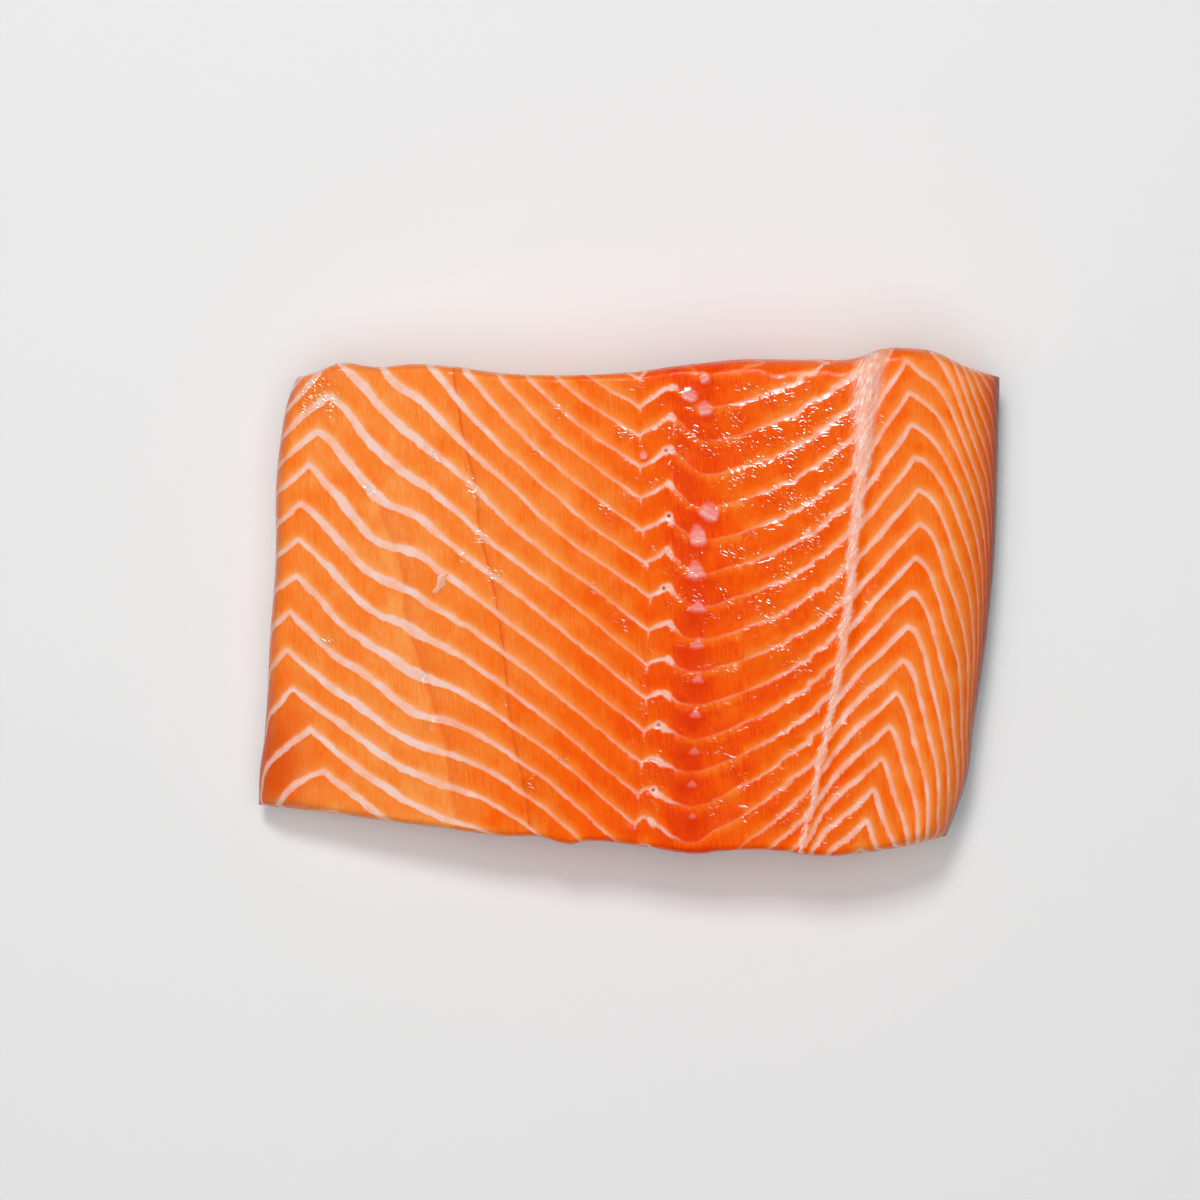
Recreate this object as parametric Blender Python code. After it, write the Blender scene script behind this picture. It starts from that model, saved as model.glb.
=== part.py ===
"""A raw salmon portion lying on its skin, flesh side up.

It is one piece of a side of salmon, cut straight across the fish twice, so it is one closed
solid: a flat skin underneath, two cut walls, the thin belly edge on the left, the thick back
edge on the right, and a flesh side that follows the muscle. X runs from belly to back, Y runs
along the fish and Z is up. The origin is the middle of the portion's box, on the underside.
"""

import bmesh
import bpy
import numpy as np

# Lengths below are in millimetres, and MM turns them into metres.
MM = 0.001

# Outline seen from above. The cut walls give Y along X, and the other two edges give X along Y.
# Each list runs from the corner at low X or low Y to the corner at the other end.
FRONT_CUT = (
    (-88.8, -49.2), (-78.4, -50.3), (-71.2, -51.2), (-54.3, -53.4), (-39.8, -55.1),
    (-30.1, -56.5), (-20.4, -56.6), (-13.0, -58.4), (-10.0, -57.8), (3.7, -58.8),
    (18.2, -60.6), (23.1, -59.9), (37.6, -59.9), (47.3, -61.2), (56.9, -60.5),
    (66.8, -59.0), (77.9, -56.6),
)
REAR_CUT = (
    (-79.4, 54.6), (-73.6, 55.8), (-70.2, 57.4), (-59.1, 56.8), (-50.6, 57.5),
    (-41.0, 56.8), (-30.1, 55.3), (-15.6, 54.6), (3.7, 55.6), (13.4, 57.0),
    (27.9, 58.5), (42.4, 58.5), (56.9, 59.2), (61.8, 61.0), (67.8, 61.2),
    (75.0, 60.2), (81.1, 57.2), (90.8, 54.4),
)
BELLY_EDGE = (
    (-49.2, -88.8), (-41.3, -88.5), (-34.6, -87.6), (-7.7, -85.9), (10.2, -84.6),
    (29.5, -84.4), (39.2, -83.4), (48.8, -81.6), (54.6, -79.4),
)
BACK_EDGE = (
    (-56.6, 77.9), (-51.5, 79.8), (-44.0, 82.5), (-29.2, 84.6), (-9.7, 87.5),
    (5.3, 89.1), (39.2, 90.5), (54.4, 90.8),
)

# Thickness of the flesh along X, and how much lower it lies at the front cut.
THICKNESS = ((-90, 16.5), (-62, 20), (-30, 23.5), (5, 26), (40, 27.6), (66, 27), (91, 22))
FRONT_SAG = 1.6

# The widest point of the walls above the underside, at the belly and at the back.
WIDEST_AT_BELLY = 7.0
WIDEST_AT_BACK = 9.5

# How far in from the outline the flesh side starts to roll over, along each edge.
FRONT_ROLL = ((-89, 4.5), (-60, 2.4), (0, 2.0), (50, 2.4), (78, 5.0))
REAR_ROLL = ((-80, 2.6), (-40, 2.0), (10, 2.6), (40, 5.2), (60, 4.0), (91, 5.0))
BELLY_ROLL = ((-50, 8.5), (-25, 5.0), (20, 3.6), (55, 4.0))
BACK_ROLL = ((-57, 9.0), (-20, 12.0), (20, 13.0), (55, 11.0))
WIDEST_ROLL = {"belly": 8.5, "back": 13.0, "cut": 5.2}

# How far the skin side is tucked in under the outline.
SKIN_TUCK = {"belly": 1.8, "back": 4.5, "front": 1.0, "rear": 1.6}

# Muscle blocks: the blocks are stacked along Y and folded to a W across the fish.
# Each station is X, the Y of one chosen border between two blocks, and the blocks' pitch.
FOLDS = (
    (-85, 47.6, 8.1), (-72, 56.5, 8.2), (-34, 26.9, 10.4), (4.8, -6.9, 7.6), (10, -4.3, 7.8),
    (17, -8.2, 7.9), (32, -2.0, 7.7), (54, 8.1, 7.6), (68, 33.4, 7.9), (91, -23.8, 7.9),
)
BLOCK_RELIEF = ((-85, 0.10), (-35, 0.16), (0, 0.30), (17, 0.15), (38, 0.50), (70, 0.30), (91, 0.05))

# Shallow troughs in the flesh: the middle of each as X along Y, its depth and its half width.
TROUGHS = (
    (((-60, 15.4), (60, 17.4)), 0.9, 4.5),
    (((-57, -22.4), (6.4, -32.1), (33, -37.6), (50, -40.6)), 0.7, 1.6),
    (((-59, 46.5), (-4.3, 56.4), (30, 60.2), (59, 62.6)), 0.6, 2.4),
)
# The band of connective tissue beside the last trough stands a little proud.
BAND = ((-59, 41.8), (-33, 47.5), (-4.3, 52.4), (24, 55.4), (45, 57.2), (59, 58.8))
BAND_HEIGHT = 0.55
BAND_HALF_WIDTH = 2.2

# Mesh cells: across and along the flat middle, in each rolled edge, and down the walls.
CELLS_ACROSS = 66
CELLS_ALONG = 44
CELLS_IN_BELLY_ROLL = 5
CELLS_IN_BACK_ROLL = 7
CELLS_IN_CUT_ROLL = 4
WALL_ROWS = 3

FLESH_COLOUR = (0.93, 0.19, 0.028, 1.0)
FLESH_ROUGHNESS = 0.35


def curve(stations, places):
    """Smooth curve through (place, value) stations, read at the places given."""
    place, value = np.array(stations, float).T
    slope = np.gradient(value, place)
    low = np.clip(np.searchsorted(place, places, side="right") - 1, 0, len(place) - 2)
    span = place[low + 1] - place[low]
    t = np.clip((places - place[low]) / span, 0, 1)
    rise = t * t * (3 - 2 * t)
    leaving = t * (1 - t) ** 2 * span * slope[low]
    arriving = t * t * (1 - t) * span * slope[low + 1]
    return value[low] * (1 - rise) + value[low + 1] * rise + leaving - arriving


def edge_ends(stations):
    """The places at the two ends of an edge's list."""
    return stations[0][0], stations[-1][0]


def sides(u, v):
    """The outline's four edges at fractions u across and v along, as two (x, y) pairs each way."""
    front_x = np.interp(u, (0, 1), edge_ends(FRONT_CUT))
    rear_x = np.interp(u, (0, 1), edge_ends(REAR_CUT))
    belly_y = np.interp(v, (0, 1), edge_ends(BELLY_EDGE))
    back_y = np.interp(v, (0, 1), edge_ends(BACK_EDGE))
    front = front_x, curve(FRONT_CUT, front_x)
    rear = rear_x, curve(REAR_CUT, rear_x)
    belly = curve(BELLY_EDGE, belly_y), belly_y
    back = curve(BACK_EDGE, back_y), back_y
    return front, rear, belly, back


def inside_outline(u, v):
    """X and Y at fractions u and v: a Coons patch, which blends the four edges of the outline."""
    front, rear, belly, back = sides(u, v)
    corners = sides(np.array([0.0, 1.0]), np.array([0.0, 1.0]))
    found = []
    for axis in (0, 1):
        low_front, high_front = corners[0][axis]
        low_rear, high_rear = corners[1][axis]
        between_cuts = (1 - v) * front[axis] + v * rear[axis]
        between_edges = (1 - u) * belly[axis] + u * back[axis]
        between_corners = (1 - v) * ((1 - u) * low_front + u * high_front) + v * (
            (1 - u) * low_rear + u * high_rear
        )
        found.append(between_cuts + between_edges - between_corners)
    return found


def rolled(distance, roll):
    """0 on the outline, rising as a quarter circle to 1 where the roll ends."""
    return np.sqrt(np.clip(1 - (1 - np.clip(distance / roll, 0, 1)) ** 2, 0, 1))


def widest_height(u):
    """Height of the walls' widest point."""
    return WIDEST_AT_BELLY + (WIDEST_AT_BACK - WIDEST_AT_BELLY) * u


def block_relief(x, y):
    """Grooves along the borders between muscle blocks, with the blocks swelling between them."""
    folds = np.array(FOLDS)
    border = curve(folds[:, :2], x)
    pitch = np.interp(x, folds[:, 0], folds[:, 2])
    return -curve(BLOCK_RELIEF, x) * np.cos(2 * np.pi * (border - y) / pitch)


def trough_relief(x, y):
    """The groove over the backbone's place, the knife cut and the groove beside the band."""
    depth = 0.0
    for middle, deepest, half_width in TROUGHS:
        depth = depth + deepest * np.exp(-(((x - curve(middle, y)) / half_width) ** 2))
    band = BAND_HEIGHT * np.exp(-(((x - curve(BAND, y)) / BAND_HALF_WIDTH) ** 2))
    return band - depth


def flesh_surface(u, v):
    """X, Y and Z of the flesh side out to the walls' widest point, at fractions u and v."""
    x, y = inside_outline(u, v)
    front, rear, belly, back = sides(u, v)
    width = back[0] - belly[0]
    depth = rear[1] - front[1]
    fullness = (
        rolled(u * width, curve(BELLY_ROLL, y))
        * rolled((1 - u) * width, curve(BACK_ROLL, y))
        * rolled(v * depth, curve(FRONT_ROLL, x))
        * rolled((1 - v) * depth, curve(REAR_ROLL, x))
    )
    top = curve(THICKNESS, x) - FRONT_SAG * (1 - v) ** 2
    top = top + block_relief(x, y) + trough_relief(x, y)
    low = widest_height(u)
    return x, y, low + (top - low) * fullness


def wall_ring(u, v, down):
    """X, Y and Z on the walls below their widest point: down runs from 0 there to 1 underneath."""
    width = BACK_EDGE[-1][1] - BELLY_EDGE[0][1]
    depth = REAR_CUT[-1][1] - FRONT_CUT[0][1]
    tuck = down**2
    low_u = tuck * SKIN_TUCK["belly"] / width
    high_u = 1 - tuck * SKIN_TUCK["back"] / width
    low_v = tuck * SKIN_TUCK["front"] / depth
    high_v = 1 - tuck * SKIN_TUCK["rear"] / depth
    x, y = inside_outline(low_u + (high_u - low_u) * u, low_v + (high_v - low_v) * v)
    return x, y, widest_height(u) * (1 - down)


def line_places(length, low_roll, high_roll, low_cells, middle_cells, high_cells):
    """Fractions of a length where grid lines run, closer together towards both rolled edges."""
    low = low_roll * (1 - np.cos(np.linspace(0, np.pi / 2, low_cells + 1)))
    high = length - high_roll * (1 - np.cos(np.linspace(np.pi / 2, 0, high_cells + 1)))
    middle = np.linspace(low_roll, length - high_roll, middle_cells + 1)
    return np.concatenate([low[:-1], middle, high[1:]]) / length


def flesh_sheet(name):
    """A primitive grid bent to the flesh side, open underneath, with each point's u and v."""
    across = line_places(
        BACK_EDGE[-1][1] - BELLY_EDGE[0][1],
        WIDEST_ROLL["belly"],
        WIDEST_ROLL["back"],
        CELLS_IN_BELLY_ROLL,
        CELLS_ACROSS,
        CELLS_IN_BACK_ROLL,
    )
    along = line_places(
        REAR_CUT[-1][1] - FRONT_CUT[0][1],
        WIDEST_ROLL["cut"],
        WIDEST_ROLL["cut"],
        CELLS_IN_CUT_ROLL,
        CELLS_ALONG,
        CELLS_IN_CUT_ROLL,
    )
    sheet = bmesh.new()
    bmesh.ops.create_grid(
        sheet, x_segments=len(across) - 1, y_segments=len(along) - 1, size=0.5
    )
    mesh = bpy.data.meshes.new(name)
    sheet.to_mesh(mesh)
    sheet.free()
    place = np.empty(len(mesh.vertices) * 3, np.float32)
    mesh.vertices.foreach_get("co", place)
    column, row, _ = (place.reshape(-1, 3) + 0.5).T
    u = across[np.rint(column * (len(across) - 1)).astype(int)]
    v = along[np.rint(row * (len(along) - 1)).astype(int)]
    points = np.stack(flesh_surface(u, v), axis=1) * MM
    mesh.vertices.foreach_set("co", points.ravel())
    return mesh, u, v


def add_walls(mesh, u, v):
    """Extrudes the sheet's rim down to the underside and closes it with one flat face."""
    body = bmesh.new()
    body.from_mesh(mesh)
    body.verts.ensure_lookup_table()
    place = {vert: (u[vert.index], v[vert.index]) for vert in body.verts if vert.is_boundary}
    rim = [edge for edge in body.edges if edge.is_boundary]
    for row in range(1, WALL_ROWS + 1):
        above = list({vert for edge in rim for vert in edge.verts})
        grown = bmesh.ops.extrude_edge_only(body, edges=rim)["geom"]
        below = {item for item in grown if isinstance(item, bmesh.types.BMVert)}
        for vert in above:
            twin = next(e.other_vert(vert) for e in vert.link_edges if e.other_vert(vert) in below)
            place[twin] = place[vert]
            twin.co = [value * MM for value in wall_ring(*place[vert], row / WALL_ROWS)]
        rim = [item for item in grown if isinstance(item, bmesh.types.BMEdge)]
        rim = [edge for edge in rim if edge.verts[0] in below and edge.verts[1] in below]
    bmesh.ops.contextual_create(body, geom=rim)
    bmesh.ops.recalc_face_normals(body, faces=body.faces)
    body.to_mesh(mesh)
    body.free()


def put_origin_under_middle(mesh):
    """Moves the mesh so that the origin is the middle of its box, on the underside."""
    points = np.empty(len(mesh.vertices) * 3, np.float32)
    mesh.vertices.foreach_get("co", points)
    points = points.reshape(-1, 3)
    low, high = points.min(axis=0), points.max(axis=0)
    points[:, :2] -= (low[:2] + high[:2]) / 2
    points[:, 2] -= low[2]
    mesh.vertices.foreach_set("co", points.ravel())


def flesh_material():
    material = bpy.data.materials.new("salmon_flesh")
    material.use_nodes = True
    shader = material.node_tree.nodes["Principled BSDF"]
    shader.inputs["Base Color"].default_value = FLESH_COLOUR
    shader.inputs["Roughness"].default_value = FLESH_ROUGHNESS
    shader.inputs["Metallic"].default_value = 0.0
    return material


def salmon_portion(collection):
    """The whole portion as one object."""
    mesh, u, v = flesh_sheet("salmon_portion")
    add_walls(mesh, u, v)
    put_origin_under_middle(mesh)
    mesh.materials.append(flesh_material())
    mesh.shade_smooth()
    mesh.set_sharp_from_angle(angle=np.radians(40))
    portion = bpy.data.objects.new("salmon_portion", mesh)
    collection.objects.link(portion)
    return portion


for old in list(bpy.data.objects):
    bpy.data.objects.remove(old)
parts = bpy.data.collections.new("salmon_portion")
bpy.context.scene.collection.children.link(parts)
salmon_portion(parts)
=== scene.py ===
"""The looks of a raw salmon portion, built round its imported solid.

Lengths are in millimetres in the salmon's own sections, and MM turns them into metres. X runs from
the belly to the back, Y along the fish and Z up, as in the solid.
"""

import bpy
import numpy as np
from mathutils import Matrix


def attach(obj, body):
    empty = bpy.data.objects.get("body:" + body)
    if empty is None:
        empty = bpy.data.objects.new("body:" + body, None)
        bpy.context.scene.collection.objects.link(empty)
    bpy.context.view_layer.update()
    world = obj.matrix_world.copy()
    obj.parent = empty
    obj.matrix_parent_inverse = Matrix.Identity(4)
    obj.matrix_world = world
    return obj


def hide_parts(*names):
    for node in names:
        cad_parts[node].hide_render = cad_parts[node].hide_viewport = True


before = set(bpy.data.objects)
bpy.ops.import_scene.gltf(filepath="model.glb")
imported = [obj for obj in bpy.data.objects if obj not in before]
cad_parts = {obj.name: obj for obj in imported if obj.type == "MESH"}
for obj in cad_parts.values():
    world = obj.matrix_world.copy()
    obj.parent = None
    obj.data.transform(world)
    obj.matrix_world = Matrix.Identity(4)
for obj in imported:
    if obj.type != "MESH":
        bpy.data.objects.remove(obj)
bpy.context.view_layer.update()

# The flesh: one piece cut from a whole side of salmon, lying flesh side up. Its outline and its
# thickness are those of the solid; the muscle blocks, the knife cuts and the band of connective
# tissue are carved finer here, and the walls drop to the skin that carries it.
MM = 0.001

# The outline from above, with the two cut ends as Y at an X and the belly and back edges as X at a Y,
# then the thickness along X.
FRONT_CUT = (
    (-89.8, -49.2), (-79.4, -50.3), (-72.2, -51.2), (-55.3, -53.4), (-40.8, -55.1),
    (-31.1, -56.5), (-21.4, -56.6), (-14.0, -58.4), (-11.0, -57.8), (2.7, -58.8),
    (17.2, -60.6), (22.1, -59.9), (36.6, -59.9), (46.3, -61.2), (55.9, -60.5),
    (65.8, -59.0), (76.9, -56.6),
)
REAR_CUT = (
    (-80.4, 54.6), (-74.6, 55.8), (-71.2, 57.4), (-60.1, 56.8), (-51.6, 57.5),
    (-42.0, 56.8), (-31.1, 55.3), (-16.6, 54.6), (2.7, 55.6), (12.4, 57.0),
    (26.9, 58.5), (41.4, 58.5), (55.9, 59.2), (60.8, 61.0), (66.8, 61.2),
    (74.0, 60.2), (80.1, 57.2), (89.8, 54.4),
)
BELLY_EDGE = (
    (-49.2, -89.8), (-41.3, -89.5), (-34.6, -88.6), (-7.7, -86.9), (10.2, -85.6),
    (29.5, -85.4), (39.2, -84.4), (48.8, -82.6), (54.6, -80.4),
)
BACK_EDGE = (
    (-56.6, 76.9), (-51.5, 78.8), (-44.0, 81.5), (-29.2, 83.6), (-9.7, 86.5),
    (5.3, 88.1), (39.2, 89.5), (54.4, 89.8),
)
THICKNESS = ((-91, 16.5), (-63, 20), (-31, 23.5), (4, 26), (39, 27.6), (65, 27), (90, 22))

# How far the front end sags, how high up the walls are widest, how wide each rim rolls over, how
# sharp the shoulder of the cuts is, and how far in the skin side is tucked.
FRONT_SAG = 1.6
WIDEST_AT_BELLY = 7.0
WIDEST_AT_BACK = 9.5
FRONT_ROLL = ((-90, 4.5), (-61, 2.4), (-1, 2.0), (49, 2.4), (77, 5.0))
REAR_ROLL = ((-81, 2.6), (-41, 2.0), (9, 2.6), (39, 5.2), (59, 4.0), (90, 5.0))
BELLY_ROLL = ((-50, 8.5), (-25, 5.0), (20, 3.6), (55, 4.0))
BACK_ROLL = ((-57, 9.0), (-20, 12.0), (20, 13.0), (55, 11.0))
WIDEST_ROLL = {"belly": 8.5, "back": 13.0, "cut": 5.2}
CUT_SHOULDER = 2.6
SKIN_TUCK = {"belly": 1.8, "back": 4.5, "front": 1.0, "rear": 1.6}
SKIN_THICKNESS = 0.9

# Lines along the fish, each as X at a Y: where the white borders between muscle blocks fold, and the
# two cuts that the knife left, the second of which ends before the rear.
CREST = (
    (-50.0, -70.7), (-40.7, -73.1), (-30.7, -76.4), (-21.4, -80.7), (-7.0, -81.9),
    (6.0, -79.7), (23.1, -78.8), (40.9, -74.5), (49.7, -71.7), (56.6, -70.5),
)
KNIFE_CUT = (
    (-55.5, -23.6), (-45.9, -24.8), (-28.6, -28.3), (-11.9, -30.0), (6.4, -33.1),
    (15.5, -35.5), (27.4, -36.7), (38.6, -39.5), (54.7, -42.1),
)
VALLEY = ((-53.1, 1.4), (-37.6, 3.1), (-9.0, 4.5), (0.5, 5.0), (15.9, 3.3), (54.3, 2.6))
PINS = ((-51.9, 5.0), (-37.1, 6.9), (-13.8, 9.0), (20.0, 9.0), (54.7, 10.0))
SPINE = ((-56.6, 14.5), (-26.4, 15.7), (7.6, 16.3), (54.7, 16.5))
BAND = (
    (-58.5, 40.9), (-43.6, 44.2), (-25.7, 47.8), (-4.3, 51.4), (17.1, 53.5),
    (33.8, 55.2), (48.1, 56.1), (58.8, 57.8),
)
RIDGE = (
    (-58.0, 55.0), (-52.6, 56.1), (-30.0, 61.6), (-13.8, 65.0), (2.1, 66.9),
    (21.5, 68.7), (41.4, 66.9), (58.3, 65.7),
)
SECOND_CUT = (
    (-50.5, -41.7), (-42.6, -42.9), (-35.0, -43.6), (-23.1, -47.6), (-14.3, -50.0),
    (-3.6, -53.6), (5.5, -54.0), (21.4, -59.5),
)
SECOND_CUT_END = 24

# The blocks' overlap, the torn fibres, the borders and the wetness along X, in millimetres or as
# shares of 1, then the band's width and the remnants' pallor along Y.
TILE_HEIGHT = (
    (-89, 0.06), (-40, 0.08), (-5, 0.12), (8, 0.16), (17, 0.10), (30, 0.18), (42, 0.22),
    (52, 0.18), (60, 0.12), (75, 0.10), (91, 0.06),
)
TORN_HEIGHT = ((-89, 0.01), (0, 0.03), (12, 0.06), (30, 0.09), (50, 0.08), (60, 0.02), (91, 0.01))
BORDER_WIDTH = (
    (-89, 1.3), (-80, 1.5), (-72, 1.8), (-60, 2.1), (-48, 1.9), (-36, 1.4), (-28, 1.1),
    (-15, 0.85), (-3, 0.65), (4, 0.9), (9, 1.1), (12, 0.5), (16, 0.35), (22, 0.4), (28, 0.5),
    (36, 0.95), (46, 1.25), (53, 1.35), (60, 1.3), (68, 1.2), (76, 0.92), (84, 0.7), (91, 0.5),
)
BORDER_WHITENESS = (
    (-89, 0.75), (-60, 0.92), (-40, 0.82), (-25, 0.66), (-5, 0.56), (4, 0.72), (9, 0.72),
    (12, 0.32), (18, 0.22), (24, 0.32), (32, 0.52), (45, 0.68), (60, 0.74), (75, 0.68), (91, 0.50),
)
TEETH = (
    (-89, 0.15), (-20, 0.2), (0, 0.35), (10, 0.5), (30, 0.6), (45, 0.9), (56, 0.6),
    (66, 0.25), (91, 0.15),
)
RICHNESS = (
    (-90, 0.22), (-75, 0.10), (-55, 0.02), (-35, 0.12), (-20, 0.22), (-8, 0.42), (0, 0.55),
    (6, 0.66), (14, 0.86), (18, 0.84), (24, 0.72), (36, 0.66), (46, 0.60), (54, 0.48),
    (62, 0.38), (70, 0.35), (78, 0.30), (85, 0.44), (90, 0.56),
)
DARK_MUSCLE = ((-90, 0.8), (-30, 1.2), (0, 2.6), (10, 4.5), (20, 2.6), (50, 1.5), (90, 3.0))
WETNESS = (
    (-89, 0.05), (-36, 0.10), (-22, 0.24), (-6, 0.32), (2, 0.5), (8, 0.6), (16, 0.55),
    (26, 0.7), (40, 0.95), (52, 0.9), (58, 0.45), (66, 0.12), (91, 0.04),
)
BAND_WIDTH = (
    (-58, 1.2), (-40, 1.8), (-20, 2.2), (0, 2.5), (20, 3.2), (34, 4.6), (44, 6.6), (58, 8.0),
)
REMNANT_PALLOR = ((-57, 0.0), (-28, 0.1), (-8, 0.45), (10, 0.9), (57, 1.0))

# Single places, each with its X and Y: where fat pools, with how much it widens the border; where a
# border kinks, with the reach across and along and the shift; and where a drop lies, with its reach.
POOLS_OF_FAT = ((-63.5, 25.5, 0.9), (-67.5, 21.0, 0.6), (-51.5, -8.5, 1.0), (-51.5, -17.5, 1.1))
KINKS = (
    (-62.0, 14.0, 6.0, 14.0, -0.19), (-50.5, 14.0, 5.0, 9.0, 0.16),
    (-54.0, -6.0, 5.0, 7.0, 0.17), (-63.5, -19.0, 6.0, 8.0, 0.14),
    (-51.0, -28.0, 6.0, 9.0, -0.17), (-65.5, -38.0, 8.0, 9.0, -0.12),
    (-73.5, 35.0, 5.0, 5.0, 0.13), (-56.0, 54.0, 6.0, 6.0, -0.15),
)
DROPS_OF_JUICE = (
    (-76.5, 51.5, 3.0), (-73.5, 47.5, 2.6), (-77.5, 46.5, 2.2), (-62.3, 26.6, 1.8),
    (-45.9, 34.4, 1.8), (-37.6, 27.4, 1.5), (-35.4, 15.4, 1.8), (-32.4, 6.8, 1.8),
    (-40.3, 10.8, 1.4), (-16.3, 45.5, 1.7), (-22.0, 36.0, 1.3), (-72.0, -9.0, 2.1),
    (-49.4, -17.6, 1.7), (-47.9, -29.3, 1.7), (-24.0, -43.6, 1.5), (-15.8, -37.8, 1.3),
    (-6.0, 22.0, 1.6), (-2.0, -6.0, 1.3), (-1.0, 40.0, 1.6), (-9.0, 3.0, 1.3),
)

# The borders' lean inside the flesh: millimetres of depth for one border, the depth where it starts,
# its share under the belly and back edges, and how far in from them it has turned to the other way.
BORDER_LEAN = 7.5
LEAN_STARTS = 4.5
LEAN_AT_EDGES = -1.2
LEAN_TURNS_OVER = 18

# The carving's depths and rises, and the allowance that keeps it all inside the solid.
KNIFE_CUT_DEPTH, SECOND_CUT_DEPTH = 0.22, 0.20
BED_DEPTH, BED_HALF_WIDTH = 0.9, 4.5
BAND_RISE, BAND_GROOVE = 0.5, 0.45
REMNANT_RISE, HOLE_DEPTH = 0.22, 0.30
ALLOWANCE = 0.25

# The holes of pulled pin bones, then the remnants of the backbone: soft pink ends of cartilage and
# marrow that the knife left, one to each muscle block. Each has its middle, size across and along,
# turn, and how much it narrows to its rear end.
PIN_HOLES = ((8.7, 36.0), (8.2, 3.3), (7.0, -29.2), (5.8, -44.7), (9.4, 20.4))
REMNANTS = (
    (14.3, 49.0, 4.4, 3.6, -0.4, 0.0), (17.9, 45.8, 3.8, 4.4, 0.2, 0.0),
    (19.0, 21.4, 6.2, 5.2, -0.5, 0.2), (16.3, 15.6, 4.4, 6.4, 0.1, 0.1),
    (15.8, 7.4, 5.2, 5.6, 0.1, 0.4), (16.4, -1.0, 4.4, 4.0, 0.0, 0.8),
    (16.2, -9.9, 3.9, 3.3, 0.1, 0.8), (16.4, -18.2, 3.6, 3.0, -0.1, 0.8),
    (15.7, -26.5, 3.5, 2.9, 0.0, 0.8), (15.5, -35.3, 3.2, 2.7, 0.1, 0.8),
    (15.0, -43.2, 3.0, 2.5, 0.0, 0.8), (15.2, -50.8, 2.2, 2.0, 0.0, 0.6),
    (3.4, 34.8, 1.9, 2.6, 0.3, 0.0), (17.8, 53.4, 2.8, 4.0, 0.5, 0.3),
)
REMNANT_SQUARENESS = 2.4

# The mesh: its cells between the rolled rims and in them, the rows down its walls, and how much
# smaller than the solid it is.
CELLS_ACROSS, CELLS_ALONG = 276, 190
CELLS_IN_ROLLS = {"belly": 12, "back": 20, "cut": 9}
WALL_ROWS = 18
INSIDE_SOLID = 0.9993


def curve(stations, places):
    """Smooth curve through (place, value) stations, read at the places given."""
    place, value = np.array(stations, float).T
    slope = np.gradient(value, place)
    low = np.clip(np.searchsorted(place, places, side="right") - 1, 0, len(place) - 2)
    span = place[low + 1] - place[low]
    t = np.clip((places - place[low]) / span, 0, 1)
    rise = t * t * (3 - 2 * t)
    leaving = t * (1 - t) ** 2 * span * slope[low]
    arriving = t * t * (1 - t) * span * slope[low + 1]
    return value[low] * (1 - rise) + value[low + 1] * rise + leaving - arriving


def unevenness(x, y, size, seed):
    """Random heights from -1 to 1 on a lattice of the size given, blended smoothly between."""
    heights = np.random.default_rng(seed).uniform(-1, 1, (97, 97))
    column, row = np.floor(x / size), np.floor(y / size)
    s, t = x / size - column, y / size - row
    s, t = s * s * (3 - 2 * s), t * t * (3 - 2 * t)
    i, j = column.astype(int) % 97, row.astype(int) % 97
    near = heights[j, i] * (1 - s) + heights[j, (i + 1) % 97] * s
    far = heights[(j + 1) % 97, i] * (1 - s) + heights[(j + 1) % 97, (i + 1) % 97] * s
    return near * (1 - t) + far * t


def hump(distance, half_width):
    """A bell, 1 in its middle and about a third at the half width."""
    return np.exp(-((distance / half_width) ** 2))


def step(low, high, value):
    """0 below low and 1 above high, smooth between."""
    t = np.clip((value - low) / (high - low), 0, 1)
    return t * t * (3 - 2 * t)


# The border's number along each fold, as a cubic in Y / 60, and how the numbers between two folds
# leave a straight change: a power of the share across, then waves over the share, each with its
# strength as a quadratic in Y / 60.
FOLD_NUMBERS = {
    "belly": (6.277, -6.766, -2.248, 0.039),
    "crest": (6.729, -6.722, -0.430, 0.149),
    "cut": (2.714, -6.366, 0.697, -0.003),
    "valley": (-0.867, -7.483, -0.174, -0.577),
    "pins": (-0.574, -7.013, 0.003, -0.720),
    "spine": (-1.158, -7.675, -0.100, 0.156),
    "near band": (1.114, -7.642, 0.320, -0.291),
    "far band": (2.157, -7.351, 0.007, 0.197),
    "ridge": (4.286, -7.459, 0.141, -0.338),
    "back": (-3.079, -6.194, 1.075, -2.099),
}
BETWEEN_FOLDS = (
    ((1.0, 0.0), ((-0.073, -0.045, 0.405),)),
    ((1.0, 0.0), ((0.050, -0.054, -0.049), (0.032, -0.027, -0.010), (-0.011, 0.005, -0.017))),
    ((1.0, 0.0), ((0.001, 0.039, 0.047), (-0.006, 0.001, -0.021))),
    ((0.7, 0.0), ((-0.030, -0.905, 1.161),)),
    ((1.0, 0.0), ((0.116, -0.190, -0.244),)),
    ((1.7, 0.3), ((-0.020, 0.031, 0.018), (0.029, -0.017, -0.011))),
    ((1.0, 0.0), ()),
    ((1.0, 0.0), ((0.030, -0.031, 0.074), (-0.001, -0.017, 0.060))),
    ((1.9, 0.25), ((-0.006, 0.001, 0.178), (0.055, -0.042, -0.129), (-0.028, 0.006, 0.086))),
)
FOLD_ROUNDING, FOLD_ROUNDING_AT_SPINE = 0.35, 2.6


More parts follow.
